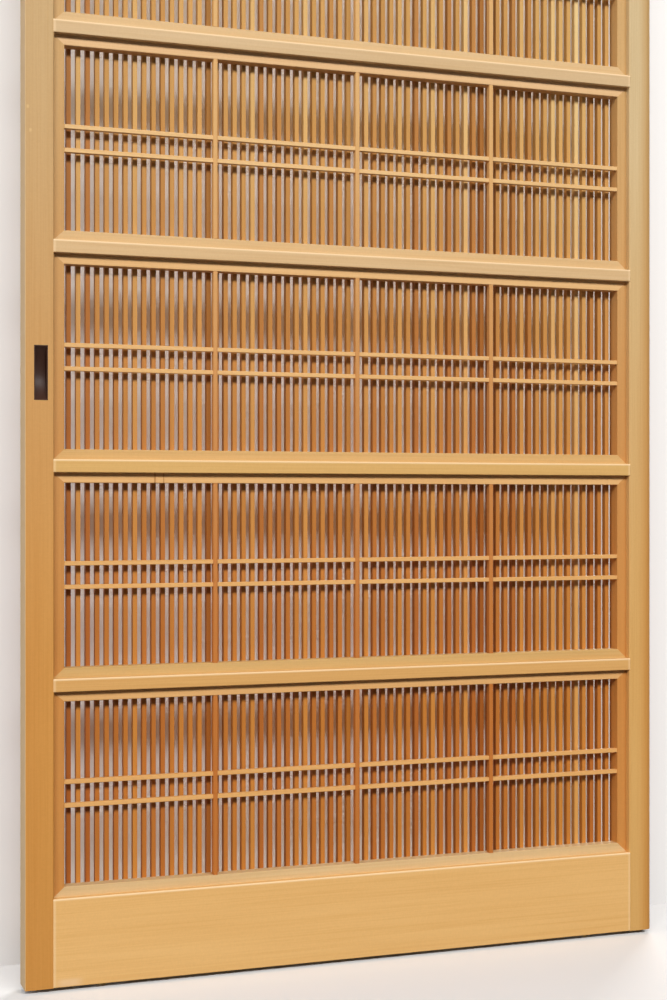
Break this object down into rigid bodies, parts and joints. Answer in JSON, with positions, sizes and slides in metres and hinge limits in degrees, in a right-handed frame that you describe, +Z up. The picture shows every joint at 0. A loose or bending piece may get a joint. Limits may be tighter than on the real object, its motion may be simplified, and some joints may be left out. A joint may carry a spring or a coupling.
{
  "type": "slatted lattice sliding screen",
  "caption": "Wooden sliding screen with upright slats behind a grid of rails, mitred inner frames and thin lattice bars, a flush pull in the left stile and door wheels under the bottom rail.",
  "frame": {"origin": "on the sill under the two door wheels, midway between the outer faces of the stiles and midway through the thickness", "axes": "+X to the right along the screen seen from the front, +Y from the front face to the back, +Z up"},
  "size_m": [0.873, 0.036, 1.7625],
  "materials": {
    "frame_wood": "satin",
    "lattice_wood": "satin",
    "slat_wood": "satin",
    "pull_wood": "satin",
    "wheel_steel": "worn",
    "wheel_brass": "worn"
  },
  "bodies": {
    "screen": {"left_stile": "frame_wood", "right_stile": "frame_wood", "bottom_rail": "frame_wood", "top_rail": "frame_wood", "mid_rail_1": "frame_wood", "mid_rail_2": "frame_wood", "mid_rail_3": "frame_wood", "mid_rail_4": "frame_wood", "mid_rail_5": "frame_wood", "bottom_strip_1": "lattice_wood", "right_strip_1": "lattice_wood", "top_strip_1": "lattice_wood", "left_strip_1": "lattice_wood", "lower_bar_1": "lattice_wood", "upper_bar_1": "lattice_wood", "bottom_strip_2": "lattice_wood", "right_strip_2": "lattice_wood", "top_strip_2": "lattice_wood", "left_strip_2": "lattice_wood", "lower_bar_2": "lattice_wood", "upper_bar_2": "lattice_wood", "bottom_strip_3": "lattice_wood", "right_strip_3": "lattice_wood", "top_strip_3": "lattice_wood", "left_strip_3": "lattice_wood", "lower_bar_3": "lattice_wood", "upper_bar_3": "lattice_wood", "bottom_strip_4": "lattice_wood", "right_strip_4": "lattice_wood", "top_strip_4": "lattice_wood", "left_strip_4": "lattice_wood", "lower_bar_4": "lattice_wood", "upper_bar_4": "lattice_wood", "bottom_strip_5": "lattice_wood", "right_strip_5": "lattice_wood", "top_strip_5": "lattice_wood", "left_strip_5": "lattice_wood", "lower_bar_5": "lattice_wood", "upper_bar_5": "lattice_wood", "bottom_strip_6": "lattice_wood", "right_strip_6": "lattice_wood", "top_strip_6": "lattice_wood", "left_strip_6": "lattice_wood", "lower_bar_6": "lattice_wood", "upper_bar_6": "lattice_wood", "muntins_1": "lattice_wood", "muntins_2": "lattice_wood", "muntins_3": "lattice_wood", "slats_bay_1": "slat_wood", "slats_bay_2": "slat_wood", "slats_bay_3": "slat_wood", "slats_bay_4": "slat_wood", "flush_pull": "pull_wood", "left_wheel_housing": "wheel_steel", "left_wheel_axle": "wheel_steel", "right_wheel_housing": "wheel_steel", "right_wheel_axle": "wheel_steel", "wheel_screws": "wheel_steel"},
    "left_wheel": {"left_wheel": "wheel_brass"},
    "right_wheel": {"right_wheel": "wheel_brass"}
  },
  "joints": [
    {"name": "left_wheel_spin", "type": "hinge", "parent": "screen", "child": "left_wheel", "pos_m": [-0.3385, 0, 0.013], "axis": [0, 1, 0], "continuous": true},
    {"name": "right_wheel_spin", "type": "hinge", "parent": "screen", "child": "right_wheel", "pos_m": [0.3385, 0, 0.013], "axis": [0, 1, 0], "continuous": true}
  ]
}
